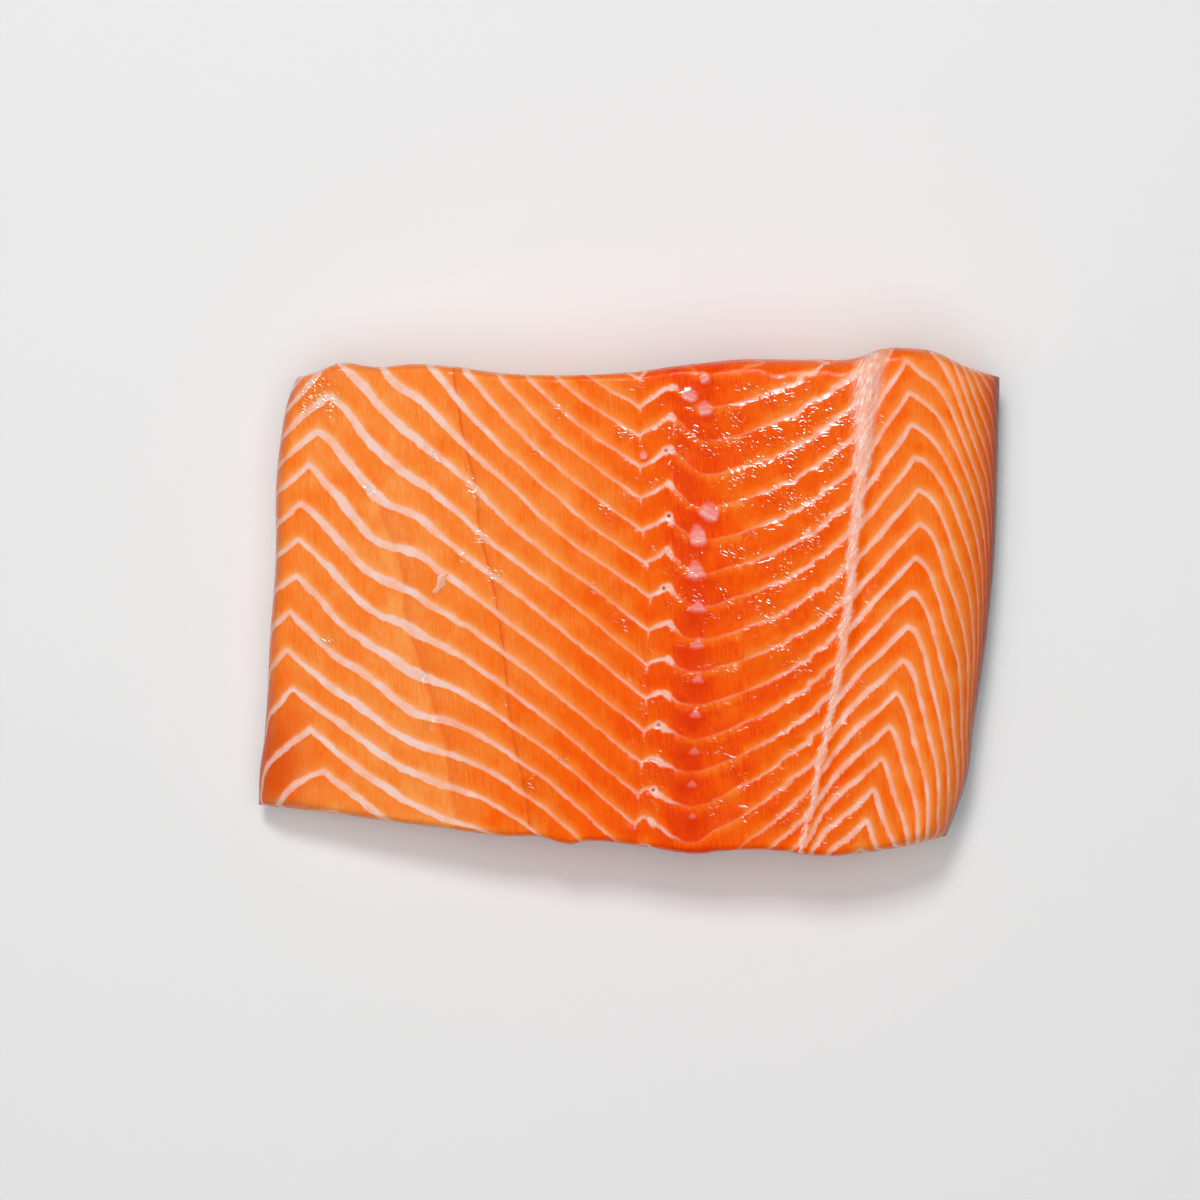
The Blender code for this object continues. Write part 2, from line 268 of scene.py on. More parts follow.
def sharp_border_number(x, y):
    """The marbling's field before its folds are rounded off.

    Across X it runs from one fold's number to the next fold's by a share of their difference, so
    the borders fold to a W. The share is t to a power, plus waves sin(pi k t), t being the place
    between the two folds.
    """
    s = y / 60
    band = curve(BAND, y)
    lines = (
        curve(BELLY_EDGE, y), curve(CREST, y), curve(KNIFE_CUT, y), curve(VALLEY, y),
        curve(PINS, y), curve(SPINE, y), band - 0.9, band + 0.9, curve(RIDGE, y),
        curve(BACK_EDGE, y),
    )
    numbers = [a + b * s + c * s**2 + d * s**3 for a, b, c, d in FOLD_NUMBERS.values()]
    number = numbers[0]
    for fold, (power, waves) in enumerate(BETWEEN_FOLDS):
        t = np.clip((x - lines[fold]) / (lines[fold + 1] - lines[fold]), 0, 1)
        share = t ** (power[0] + power[1] * s)
        for k, (a, b, c) in enumerate(waves):
            share = share + (a + b * s + c * s**2) * np.sin(np.pi * (k + 1) * t)
        number = number + share * (numbers[fold + 1] - numbers[fold])
    return number


def border_number(x, y):
    """The marbling's field: each white border lies where it is a whole number.

    It is the mean of the sharp field over three places side by side, which rounds the folds, plus
    the kinks, each a bell across times a bell along, and unevenness.
    """
    reach = FOLD_ROUNDING + FOLD_ROUNDING_AT_SPINE * hump(x - curve(SPINE, y), 3.6)
    number = 0.5 * sharp_border_number(x, y)
    for side in (-1, 1):
        number = number + 0.25 * sharp_border_number(x + side * reach, y)
    jagged = hump(x - 42, 11) + 0.5 * hump(x - 14, 7)
    for kink_x, kink_y, across, along, shift in KINKS:
        number = number + shift * hump(x - kink_x, across) * hump(y - kink_y, along)
    number = number + 0.035 * unevenness(x, y, 5.0, 11) + 0.018 * unevenness(x, y, 1.7, 12)
    return number + jagged * (0.07 * unevenness(x, y, 2.6, 13) + 0.05 * unevenness(x, y, 1.1, 14))


def remnant(x, y):
    """How deep a place lies in the nearest remnant, and where along it.

    The depth is 1 in its middle and 0 on its edge, a superellipse that narrows to the rear. The
    place along it runs from -1 at its front end to 1 at its rear end.
    """
    inside, along_it = np.full(np.shape(x), -2.0), np.zeros(np.shape(x))
    for middle_x, middle_y, across, along, turn, narrowing in REMNANTS:
        dx, dy = x - middle_x, y - middle_y
        s = (dx * np.cos(turn) + dy * np.sin(turn)) / (0.5 * across)
        t = (dy * np.cos(turn) - dx * np.sin(turn)) / (0.5 * along)
        width = np.clip(1 - narrowing * (t + 0.4), 0.25, 1.3)
        far_out = np.abs(s / width) ** REMNANT_SQUARENESS + np.abs(t) ** REMNANT_SQUARENESS
        here = 1 - far_out ** (1 / REMNANT_SQUARENESS)
        nearer = here > inside
        inside = np.where(nearer, here, inside)
        along_it = np.where(nearer, t, along_it)
    return inside, along_it


def distance_to_hole(x, y):
    """Millimetres to the middle of the nearest pin bone's hole."""
    return np.min([np.hypot(x - hole_x, y - hole_y) for hole_x, hole_y in PIN_HOLES], axis=0)


def sides(u, v):
    """The outline's four edges at fractions u across and v along, as (x, y) pairs."""
    front_x = np.interp(u, (0, 1), (FRONT_CUT[0][0], FRONT_CUT[-1][0]))
    rear_x = np.interp(u, (0, 1), (REAR_CUT[0][0], REAR_CUT[-1][0]))
    belly_y = np.interp(v, (0, 1), (BELLY_EDGE[0][0], BELLY_EDGE[-1][0]))
    back_y = np.interp(v, (0, 1), (BACK_EDGE[0][0], BACK_EDGE[-1][0]))
    front = front_x, curve(FRONT_CUT, front_x)
    rear = rear_x, curve(REAR_CUT, rear_x)
    belly = curve(BELLY_EDGE, belly_y), belly_y
    back = curve(BACK_EDGE, back_y), back_y
    return front, rear, belly, back


def inside_outline(u, v):
    """X and Y at fractions u and v: a Coons patch, which blends the four edges of the outline."""
    front, rear, belly, back = sides(u, v)
    corners = sides(np.array([0.0, 1.0]), np.array([0.0, 1.0]))
    found = []
    for axis in (0, 1):
        low_front, high_front = corners[0][axis]
        low_rear, high_rear = corners[1][axis]
        between_cuts = (1 - v) * front[axis] + v * rear[axis]
        between_edges = (1 - u) * belly[axis] + u * back[axis]
        between_corners = (1 - v) * ((1 - u) * low_front + u * high_front) + v * (
            (1 - u) * low_rear + u * high_rear
        )
        found.append(INSIDE_SOLID * (between_cuts + between_edges - between_corners))
    return found


def rolled(distance, roll, power=2.0):
    """0 on the outline, rising as a quarter circle to 1 where the roll ends.

    A power over 2 makes it the quarter of a superellipse, which has a sharper shoulder.
    """
    return np.clip(1 - (1 - np.clip(distance / roll, 0, 1)) ** power, 0, 1) ** (1 / power)


def widest_height(u):
    """Height of the walls' widest point."""
    return WIDEST_AT_BELLY + (WIDEST_AT_BACK - WIDEST_AT_BELLY) * u


def relief(x, y):
    """Height of the carving: blocks that overlap like tiles, cuts, the spine's bed and the band.

    A block starts with a short steep rise just past its border and falls slowly to the next.
    """
    past = border_number(x, y) % 1.0
    tiles = curve(TILE_HEIGHT, x)
    height = tiles * (step(0.0, 0.14, past) - past)
    from_cut = x - curve(KNIFE_CUT, y)
    past_cut = np.exp(-np.clip(from_cut, 0, None) / 1.1)
    height = height - KNIFE_CUT_DEPTH * past_cut * step(-0.6, 0.0, from_cut)
    from_second = x - curve(SECOND_CUT, y)
    height = height - SECOND_CUT_DEPTH * hump(from_second, 0.7) * (y < SECOND_CUT_END)
    from_spine = x - curve(SPINE, y)
    bed_lip = 0.25 * hump(from_spine + 6.8, 1.2)
    height = height - BED_DEPTH * hump(from_spine, BED_HALF_WIDTH) + bed_lip
    from_band = x - curve(BAND, y)
    height = height + BAND_RISE * hump(from_band, 1.8) - BAND_GROOVE * hump(from_band - 3.6, 1.5)
    height = height + REMNANT_RISE * step(-0.1, 0.5, remnant(x, y)[0])
    height = height - HOLE_DEPTH * hump(distance_to_hole(x, y), 0.7)
    height = height + 0.20 * unevenness(x, y, 9.0, 21) + 0.06 * unevenness(x, y, 2.5, 22)
    torn = curve(TORN_HEIGHT, x)
    return height + torn * unevenness(x * 1.6 + y * 0.8, y - x * 0.4, 1.0, 23) - ALLOWANCE


def flesh_height(x, y, v):
    """Height of the flesh side away from its rolled rim."""
    return curve(THICKNESS, x) - FRONT_SAG * (1 - v) ** 2 + relief(x, y)


def flesh_surface(u, v):
    """X, Y and Z of the flesh side out to the walls' widest point, at fractions u and v.

    The height above that point is multiplied by a roll for each of the four rims.
    """
    x, y = inside_outline(u, v)
    front, rear, belly, back = sides(u, v)
    width = back[0] - belly[0]
    depth = rear[1] - front[1]
    ragged = 1 + 0.16 * unevenness(x, y, 5.0, 54) + 0.12 * unevenness(x, y, 1.9, 55)
    fullness = (
        rolled(u * width, curve(BELLY_ROLL, y))
        * rolled((1 - u) * width, curve(BACK_ROLL, y))
        * rolled(v * depth, curve(FRONT_ROLL, x) * ragged, CUT_SHOULDER)
        * rolled((1 - v) * depth, curve(REAR_ROLL, x) * ragged, CUT_SHOULDER)
    )
    low = widest_height(u)
    z = low + (flesh_height(x, y, v) - low) * fullness
    return np.stack([x, y, z], axis=-1)


def wall_surface(u, v, down, inset):
    """X, Y and Z below the walls' widest point: down runs from 0 there to 1 underneath.

    The outline shrinks by the tuck, which grows with the square of down, and by the inset.
    """
    width = BACK_EDGE[-1][1] - BELLY_EDGE[0][1]
    depth = REAR_CUT[-1][1] - FRONT_CUT[0][1]
    tuck = down**2
    low_u = (tuck * SKIN_TUCK["belly"] + inset) / width
    high_u = 1 - (tuck * SKIN_TUCK["back"] + inset) / width
    low_v = (tuck * SKIN_TUCK["front"] + inset) / depth
    high_v = 1 - (tuck * SKIN_TUCK["rear"] + inset) / depth
    x, y = inside_outline(low_u + (high_u - low_u) * u, low_v + (high_v - low_v) * v)
    return np.stack([x, y, widest_height(u) * (1 - down) + 0 * x], axis=-1)


def line_places(length, low_roll, high_roll, low_cells, middle_cells, high_cells):
    """Fractions of a length where grid lines run, closer together towards both rolled edges."""
    low = low_roll * (1 - np.cos(np.linspace(0, np.pi / 2, low_cells + 1)))
    high = length - high_roll * (1 - np.cos(np.linspace(np.pi / 2, 0, high_cells + 1)))
    middle = np.linspace(low_roll, length - high_roll, middle_cells + 1)
    return np.concatenate([low[:-1], middle, high[1:]]) / length


def rim_of(grid):
    """The values round a grid's edge, once round, anticlockwise from its first corner."""
    return np.concatenate([grid[0, :-1], grid[:-1, -1], grid[-1, :0:-1], grid[:0:-1, 0]])


def quads_of(rows, columns, closed):
    """Corner numbers of the quads between rows of points; closed joins each row's two ends."""
    row, column = np.mgrid[0 : rows - 1, 0 : columns - (0 if closed else 1)]
    after = (column + 1) % columns
    return np.stack(
        [row * columns + column, row * columns + after,
         (row + 1) * columns + after, (row + 1) * columns + column],
        axis=-1,
    ).reshape(-1, 4)


def sheet_and_walls(rows, columns, wall_rows):
    """Faces of a grid with rings of wall under its rim and one face that closes the last ring."""
    numbers = np.arange(rows * columns).reshape(rows, columns)
    rim = rim_of(numbers)
    rings = rows * columns + np.arange(wall_rows * len(rim)).reshape(wall_rows, len(rim))
    rings = np.concatenate([rim[None], rings])
    walls = rings.ravel()[quads_of(wall_rows + 1, len(rim), closed=True)][:, ::-1]
    faces = np.concatenate([quads_of(rows, columns, closed=False), walls]).tolist()
    return faces + [rings[-1][::-1].tolist()]


def spacing_of_borders(points, number):
    """Millimetres from one border to the next on a grid: one over the slope of their number."""
    along, across = np.gradient(points, axis=(0, 1))
    by_row, by_column = np.gradient(number)
    e, g = (across**2).sum(-1), (along**2).sum(-1)
    f = (across * along).sum(-1)
    slope = by_column**2 * g - 2 * by_column * by_row * f + by_row**2 * e
    return 1 / np.sqrt(np.clip(slope / np.maximum(e * g - f * f, 1e-9), 1e-4, 1.5))


def in_order(top, wall):
    """A field's values on the sheet and then on the walls, as one row per point."""
    return np.concatenate([top.reshape(-1, *top.shape[2:]), wall.reshape(-1, *wall.shape[2:])])


def piece_of(name, points, faces, fields):
    """A smooth mesh object from points in millimetres, its faces and one value a point by name."""
    mesh = bpy.data.meshes.new(name)
    mesh.from_pydata((np.asarray(points) * MM).tolist(), [], faces)
    for field, values in fields.items():
        layer = mesh.attributes.new(field, "FLOAT", "POINT")
        layer.data.foreach_set("value", np.asarray(values, np.float32).ravel())
    mesh.shade_smooth()
    piece = bpy.data.objects.new(name, mesh)
    bpy.context.scene.collection.objects.link(piece)
    return piece


u_lines = line_places(
    BACK_EDGE[-1][1] - BELLY_EDGE[0][1], WIDEST_ROLL["belly"], WIDEST_ROLL["back"],
    CELLS_IN_ROLLS["belly"], CELLS_ACROSS, CELLS_IN_ROLLS["back"],
)
v_lines = line_places(
    REAR_CUT[-1][1] - FRONT_CUT[0][1], WIDEST_ROLL["cut"], WIDEST_ROLL["cut"],
    CELLS_IN_ROLLS["cut"], CELLS_ALONG, CELLS_IN_ROLLS["cut"],
)
u, v = np.meshgrid(u_lines, v_lines)
rim_u, rim_v = rim_of(u)[None, :], rim_of(v)[None, :]
down = np.linspace(0, 1, WALL_ROWS + 1)[1:, None]
rim_x, rim_y = inside_outline(rim_u, rim_v)
rough_cut = 0.35 * step(0, 0.15, down) * (1 + 0.6 * unevenness(rim_x + rim_y, 40 * down, 3.0, 24))
flesh_top = flesh_surface(u, v)
flesh_wall = wall_surface(rim_u, rim_v, down, rough_cut)
flesh_wall[..., 2] = np.maximum(flesh_wall[..., 2], 0.6 * SKIN_THICKNESS)


def border_number_at(points):
    """The field inside the flesh: the surface's own, plus the depth times the borders' lean.

    They lean one way under the cut ends and the other way under the belly and back edges.
    """
    x, y, z = np.moveaxis(points, -1, 0)
    depth = np.clip(curve(THICKNESS, x) - z - LEAN_STARTS, 0, None)
    from_edge = np.minimum(x - curve(BELLY_EDGE, y), curve(BACK_EDGE, y) - x)
    lean = LEAN_AT_EDGES + (1 - LEAN_AT_EDGES) * step(0, LEAN_TURNS_OVER, from_edge)
    return border_number(x, y) + depth * lean / BORDER_LEAN


number_top, number_wall = border_number_at(flesh_top), border_number_at(flesh_wall)
spacing_top = spacing_of_borders(flesh_top, number_top)
spacing_wall = spacing_of_borders(
    np.concatenate([flesh_wall, flesh_wall[:, :1]], axis=1),
    np.concatenate([number_wall, number_wall[:, :1]], axis=1),
)[:, :-1]

flesh_points = in_order(flesh_top, flesh_wall)
x, y, z = flesh_points.T
number = in_order(number_top, number_wall)
spacing = in_order(spacing_top, spacing_wall)
from_edge = np.minimum(x - curve(BELLY_EDGE, y), curve(BACK_EDGE, y) - x)
from_end = np.minimum(y - curve(FRONT_CUT, x), curve(REAR_CUT, x) - y)
below = np.clip(curve(THICKNESS, x) - z, 0, None)


def mottle(x, y, z, size, seed):
    """Unevenness at three sizes, each half the one before, that runs on down the walls."""
    sizes = enumerate((size, size / 2, size / 4))
    return sum(unevenness(x + 0.8 * z, y + 0.6 * z, s, seed + k) / (1 + k) for k, s in sizes) / 1.4


# The marbling's width, and how far each place is from the lines that colour goes by.
border_width = curve(BORDER_WIDTH, x) * (1 + 0.32 * mottle(x, y, z, 4.5, 31))
for pool_x, pool_y, extra in POOLS_OF_FAT:
    border_width = border_width + extra * hump(np.hypot(x - pool_x, y - pool_y), 4.0)
from_spine = x - curve(SPINE, y)
from_cut = x - curve(KNIFE_CUT, y)
from_second = x - curve(SECOND_CUT, y)
in_second = y < SECOND_CUT_END
to_back = curve(BACK_EDGE, y) - x

# The flesh's colour: how rich it is, the blood by the backbone in the middle of each block, painted
# shade beside the cuts, along the edges and in the corners, and the brown muscle under the skin,
# which along the back edge is partly painted shade as well.
richness = curve(RICHNESS, x) + 0.28 * step(10, -45, y) * hump(x + 16, 22)
# Random richness, and a richer, darker colour within about a millimetre and a half of the cut ends.
richness = richness + 0.05 * unevenness(x, y, 12.0, 32) + 0.12 * np.exp(-from_end / 1.5)
richness = richness + 0.21 * mottle(x, y, z, 5.0, 36) - 0.16 * hump(from_second + 2.0, 2.0) * in_second
richness = richness - 0.12 * hump(y - curve(FRONT_CUT, x), 2.6) * step(-18, -40, x)
between = (number % 1.0) - 0.5
blood = hump(from_spine + 1, 3.6) * step(40, -25, y) * hump(between, 0.33)
blood = blood * (0.75 + 0.5 * unevenness(x, y, 4.0, 33))
# Painted shade: darker flesh just past the knife cut and the second cut, low on the belly side, in the
# rear corner at the belly, and along the belly and back edges.
shade = 0.24 * np.exp(-np.clip(from_cut, 0, None) / 1.8) * step(-0.4, 0.1, from_cut)
past_second = np.exp(-np.clip(from_second, 0, None) / 3) * step(-0.3, 0.2, from_second)
shade = shade + 0.34 * past_second * in_second
shade = shade + 0.75 * hump(x + 84, 6.5) * hump(y + 39, 15) + 0.50 * hump(from_edge, 1.8)
shade = shade + 0.16 * step(46, 56, y) * step(-55, -75, x)
shade = shade + 0.70 * hump(to_back - 1.0, 3.6) * step(-50, 0, y)
brown = 0.85 * hump(z - 1.0, curve(DARK_MUSCLE, x)) * step(6, 9, below)
# Along the back edge this brown is partly the dark muscle and partly painted shade.
brown = brown + 0.95 * hump(to_back, 1.6) + 0.12 * hump(to_back, 5.0) * step(-40, 10, y)

# The juice: a film along X that stops at the rolled rims, more of it at the rear, in the cut, on the
# band and at each drop. Its beads lie in clusters, and none lies on a remnant.
rear_share = (curve(REAR_CUT, x) - y) / curve(REAR_ROLL, x)
roll_share = np.minimum(rear_share, (y - curve(FRONT_CUT, x)) / curve(FRONT_ROLL, x))
ragged_share = roll_share + 0.45 * unevenness(x, y, 2.4, 53)
drier_band = 1 - 0.75 * hump(x - curve(BAND, y) - 0.5, 2.6) * step(46, 28, y)
wet = curve(WETNESS, x) * step(1.1, 1.8, ragged_share) * drier_band
wet = wet + 0.25 * hump(rear_share - 1.6, 0.3) * step(14, 22, x) * step(58, 46, x)
wet = wet + 0.8 * hump(np.hypot(x + 73, (y - 50) * 0.8), 5.0) + 0.5 * hump(from_cut + 0.5, 0.6)
wet = wet + 0.6 * hump(np.hypot(x - 15, y - 44), 6.0)
wet = wet + 0.9 * hump(x - curve(BAND, y), 2.5) * step(10, 35, y)
in_remnant, along_remnant = remnant(x, y)
from_hole = np.clip(distance_to_hole(x, y), 0, 4) + 4 * step(3, 6, below)
wet = wet + 0.2 * step(-0.5, 0.1, in_remnant)
clusters = step(0.0, 0.4, mottle(x, y, z, 4.0, 41)) * step(0.1, -0.4, in_remnant)
in_drop = np.zeros(len(x))
for drop_x, drop_y, reach in DROPS_OF_JUICE:
    drop = hump(np.hypot(x - drop_x, y - drop_y), reach)
    wet = wet + 1.2 * drop
    in_drop = np.maximum(in_drop, step(0.15, 0.5, drop))
clusters = np.maximum(clusters, 1.15 * in_drop)

flesh = piece_of(
    "salmon_flesh",
    flesh_points,
    sheet_and_walls(*u.shape, WALL_ROWS),
    {
        "border": number,
        "spacing": spacing,
        "border_width": border_width,
        "whiteness": curve(BORDER_WHITENESS, x)
        * (1 + (0.30 + 0.9 * hump(x - 17, 6)) * mottle(x, y, z, 3.0, 46))
        * (1 - 0.75 * hump(to_back, 3.0)),
        "glow_side": 1 - 2 * step(8, 13, x) * step(30, 24, x),
        "teeth": curve(TEETH, x),
        "richness": richness,
        "blood": np.clip(blood, 0, 1),
        "shade": np.clip(shade, 0, 1),
        "brown": np.clip(brown, 0, 1),
        "wet": np.clip(wet, 0, 1) * step(9, 5, below),
        "clusters": clusters,
        "in_drop": in_drop,
        "remnant": in_remnant * step(6, 3, below) - 2 * step(3, 6, below),
        "along_remnant": along_remnant,
        "remnant_pallor": curve(REMNANT_PALLOR, y),
        "from_hole": from_hole,
        "from_cut": from_cut,
        "from_valley": x - curve(VALLEY, y),
        "from_pins": x - curve(PINS, y),
        "membrane": 0.45 * step(0.1, 0.6, unevenness(x, y, 6.0, 51)),
        "from_band": x - curve(BAND, y) + 0.5 * unevenness(x, y, 3.0, 52),
        "band_width": curve(BAND_WIDTH, y) * step(6, 3, below) + 0.2,
    },
)


class Wire:
    """A shader socket that takes part in sums: each operator adds its Math node."""

    def __init__(self, tree, socket):
        self.tree = tree
        self.socket = socket

    def node(self, kind, settings, sockets, output=0):
        """A node of any type: its settings first, then the value or link of each socket."""
        made = self.tree.nodes.new(kind)
        for name, value in settings.items():
            if name == "stops":
                for _ in value[2:]:
                    made.color_ramp.elements.new(0.5)
                for element, (place, colour) in zip(made.color_ramp.elements, value):
                    element.position = place
                    element.color = (*colour, 1.0)
            else:
                setattr(made, name, value)
        for name, value in sockets.items():
            if isinstance(value, Wire):
                self.tree.links.new(value.socket, made.inputs[name])
            else:
                made.inputs[name].default_value = value
        return Wire(self.tree, made.outputs[output])

    def into(self, shader, name):
        """Links this to a socket of the material's shader."""
        self.tree.links.new(self.socket, shader.inputs[name])

    def math(self, operation, *values):
        """A Math node of these values."""
        return self.node("ShaderNodeMath", {"operation": operation}, dict(enumerate(values)))

    def __add__(self, other):
        return self.math("ADD", self, other)

    __radd__ = __add__

    def __sub__(self, other):
        return self.math("SUBTRACT", self, other)

    def __rsub__(self, other):
        return self.math("SUBTRACT", other, self)

    def __mul__(self, other):
        return self.math("MULTIPLY", self, other)

    __rmul__ = __mul__

    def __truediv__(self, other):
        return self.math("DIVIDE", self, other)

    def __rtruediv__(self, other):
        return self.math("DIVIDE", other, self)

    def __mod__(self, other):
        return self.math("FLOORED_MODULO", self, other)

    def __abs__(self):
        return self.math("ABSOLUTE", self)

    def above(self, other):
        """The larger of the two."""
        return self.math("MAXIMUM", self, other)

    def rises(self, low, high):
        """0 where this is under low and 1 where it is over high, smooth between."""
        return self.node(
            "ShaderNodeMapRange",
            {"interpolation_type": "SMOOTHSTEP"},
            {"Value": self, "From Min": low, "From Max": high},
        )

    def falls(self, low, high):
        """1 where this is under low and 0 where it is over high, smooth between."""
        return 1 - self.rises(low, high)

    def field(self, name):
        """One of the mesh's own fields."""
        return self.node("ShaderNodeAttribute", {"attribute_name": name}, {}, "Fac")

    def blend(self, first, second):
        """The first colour where this is 0 and the second where it is 1."""
        return self.node(
            "ShaderNodeMix",
            {"data_type": "RGBA", "clamp_factor": True},
            {0: self, 6: first, 7: second},
            2,
        )

    def in_millimetres(self, stretch=(1, 1, 1), turn=0.0):
        """The piece's own place in millimetres, turned about Z and then stretched."""
        place = self.node("ShaderNodeTexCoord", {}, {}, "Object")
        turned = self.node(
            "ShaderNodeVectorRotate", {"rotation_type": "Z_AXIS"}, {"Vector": place, "Angle": turn}
        )
        return self.node(
            "ShaderNodeVectorMath",
            {"operation": "MULTIPLY"},
            {0: turned, 1: [s / MM for s in stretch]},
        )

    def beads(self, widest):
        """Round domes scattered at this place, one at most to each cell, each 1 at its top."""
        sockets = {"Vector": self, "Scale": 1.0}
        distance = self.node("ShaderNodeTexVoronoi", {"voronoi_dimensions": "2D"}, sockets, "Distance")
        chance = Wire(self.tree, distance.socket.node.outputs["Color"])
        size = widest * chance.rises(0.35, 0.85) + 0.02
        return (1 - distance * distance / (size * size)).above(0.0)

    def noise(self, scale, detail=2.0, roughness=0.5):
        """Noise about 0 at this place, with so many cells a millimetre."""
        sockets = {"Vector": self, "Scale": scale, "Detail": detail, "Roughness": roughness}
        return self.node("ShaderNodeTexNoise", {}, sockets, "Fac") - 0.5

    def bumped(self, shader):
        """Uses this height in millimetres as the shader's bump."""
        sockets = {"Height": self, "Strength": 1.0, "Distance": MM}
        self.node("ShaderNodeBump", {}, sockets).into(shader, "Normal")


def new_finish(name):
    """A material, a wire to start its sums from, and its shader."""
    material = bpy.data.materials.new(name)
    material.use_nodes = True
    tree = material.node_tree
    return material, Wire(tree, None), tree.nodes["Principled BSDF"]


# The flesh's finish. A border's lower edge is crisp and toothed by the fibres; on its other side
# the fat sheet runs on under the flesh and shines through as a pale glow.
FLESH_COLOURS = (
    (0.0, (1.000, 0.350, 0.085)),
    (0.2, (0.985, 0.262, 0.040)),
    (0.4, (0.980, 0.206, 0.018)),
    (0.6, (0.980, 0.138, 0.001)),
    (0.8, (0.960, 0.092, 0.0001)),
    (1.0, (0.850, 0.055, 0.0001)),
)
BLOODSHOT = (0.76, 0.034, 0.0001, 1)
SHADED = (0.70, 0.062, 0.003, 1)
BROWN_MUSCLE_AND_SHADE = (0.16, 0.030, 0.010, 1)
CUT_SHADOW_RED = (0.84, 0.075, 0.001, 1)
THIN_FAT = (0.96, 0.36, 0.16, 1)
THICK_FAT = (0.915, 0.625, 0.540, 1)
PAINTED_GLINT_WHITE = (0.96, 0.76, 0.70, 1)
MARROW_PINK = (0.88, 0.17, 0.12, 1)
CARTILAGE_PINK = (0.95, 0.48, 0.45, 1)
CRIMSON_AND_PAINTED_SHADOW = (0.82, 0.036, 0.001, 1)
HOLE_LIP = (0.93, 0.55, 0.44, 1)
HOLE_SHADE_RED = (0.50, 0.030, 0.002, 1)
FILM_SHINE, DRY_SHINE = 0.7, 0.06
DRY_ROUGHNESS = 0.25
GLOW_THROUGH = 0.3
GLOW_RADIUS = (1.0, 0.35, 0.15)
GLOW_DEPTH = 1.6

material, start, shader = new_finish("salmon_flesh")
place = start.in_millimetres()
fibres = start.in_millimetres(stretch=(3.1, 0.25, 0.3), turn=-0.10)
streaks = fibres.noise(1.0, 3.0, 0.65)
wander = place.noise(0.8, 3.0, 0.6)
grain = place.noise(2.0, 2.0, 0.6)
border = start.field("border")
past = (border + 0.5) % 1.0 - 0.5
side = start.field("glow_side")
wet = start.field("wet")
off = past * start.field("spacing") + 0.4 * wander
off = off + 1.8 * start.field("teeth") * streaks
half = 0.5 * start.field("border_width")
away = abs(off)
crisp = (side * off).rises(-0.3, 0.3)
soft = 0.5 - 0.30 * crisp
fat = away.falls(half - soft, half + soft)
glow = (side * off).falls(-0.2, 0.1) * away.falls(0.2, 2.8)
fat = fat * start.field("whiteness") * (1 + 0.7 * grain)

from_band = start.field("from_band")
band_width = start.field("band_width")
strands = start.in_millimetres(stretch=(2.2, 0.45, 0.3), turn=0.40).noise(1.0, 2.0, 0.6)
band = abs(from_band + 2.2 * strands + 1.2 * wander).falls(0.22 * band_width, 0.62 * band_width)
band = band * (0.80 + 1.3 * strands + 0.8 * grain)
# Painted highlights: short white dashes of glint laid into the band's colour.
dashes = strands.rises(0.06, 0.14) * band.rises(0.3, 0.8)
spike = abs(start.field("from_valley") + 0.3 * wander).falls(0.05, 0.5)
spike = spike * past.rises(-0.02, 0.02) * past.falls(0.08, 0.34)
from_pins = start.field("from_pins") - 0.5 + wander
knot = (from_pins * from_pins * 0.6 + off * off).falls(0.3, 1.6) * (0.95 + 1.5 * grain)
seam = abs(from_pins - 0.5).falls(0.05, 0.3) * start.field("membrane")
white = fat.above(0.95 * band).above(0.6 * spike).above(0.85 * knot).above(seam)

richness = start.field("richness") + 1.0 * streaks + 0.22 * wander - 0.40 * glow
flesh_colour = richness.node(
    "ShaderNodeValToRGB", {"stops": FLESH_COLOURS}, {"Fac": 0.2 + 0.8 * richness}
)
flesh_colour = start.field("blood").blend(flesh_colour, BLOODSHOT)
flesh_colour = start.field("shade").blend(flesh_colour, SHADED)
flesh_colour = start.field("brown").blend(flesh_colour, BROWN_MUSCLE_AND_SHADE)
from_cut = start.field("from_cut")
# Painted shadow: a thin dark red line in the knife cut's slit.
cut_shadow_line = abs(from_cut - 0.15 + 0.5 * wander).falls(0.05, 0.5) * (0.55 + 1.2 * wander)
flesh_colour = cut_shadow_line.blend(flesh_colour, CUT_SHADOW_RED)
fat_colour = white.blend(THIN_FAT, THICK_FAT)
fat_colour = dashes.blend(fat_colour, PAINTED_GLINT_WHITE)
flesh_colour = white.blend(flesh_colour, fat_colour)

# The remnants: pale cartilage with a bar and stripes across, crimson over its front end, partly red
# tissue and partly painted shadow below the raised remnant. Then the pin holes.
remnant_edge = start.field("remnant") + 0.5 * wander + 0.3 * grain
along = start.field("along_remnant") + 0.4 * wander
crimson = remnant_edge.rises(-0.8, 0.0) * along.falls(-0.9, -0.2)
stripes = abs((along + 0.3) * 3.0).falls(0.2, 0.9) * 0.7 + along.math("SINE", along * 8.0) * 0.25
pallor = (0.35 + stripes + 0.6 * grain) * start.field("remnant_pallor")
pink = pallor.blend(MARROW_PINK, CARTILAGE_PINK)
flesh_colour = (0.92 * remnant_edge.rises(-0.05, 0.45)).blend(flesh_colour, pink)
flesh_colour = (0.6 * crimson).blend(flesh_colour, CRIMSON_AND_PAINTED_SHADOW)
from_hole = start.field("from_hole") + 0.4 * wander
pale_lip = 0.7 * (from_hole.rises(0.35, 0.7) * from_hole.falls(0.8, 1.4))
flesh_colour = pale_lip.blend(flesh_colour, HOLE_LIP)
# Painted shade: the hole's middle is dark red.
flesh_colour = from_hole.falls(0.25, 0.65).blend(flesh_colour, HOLE_SHADE_RED)

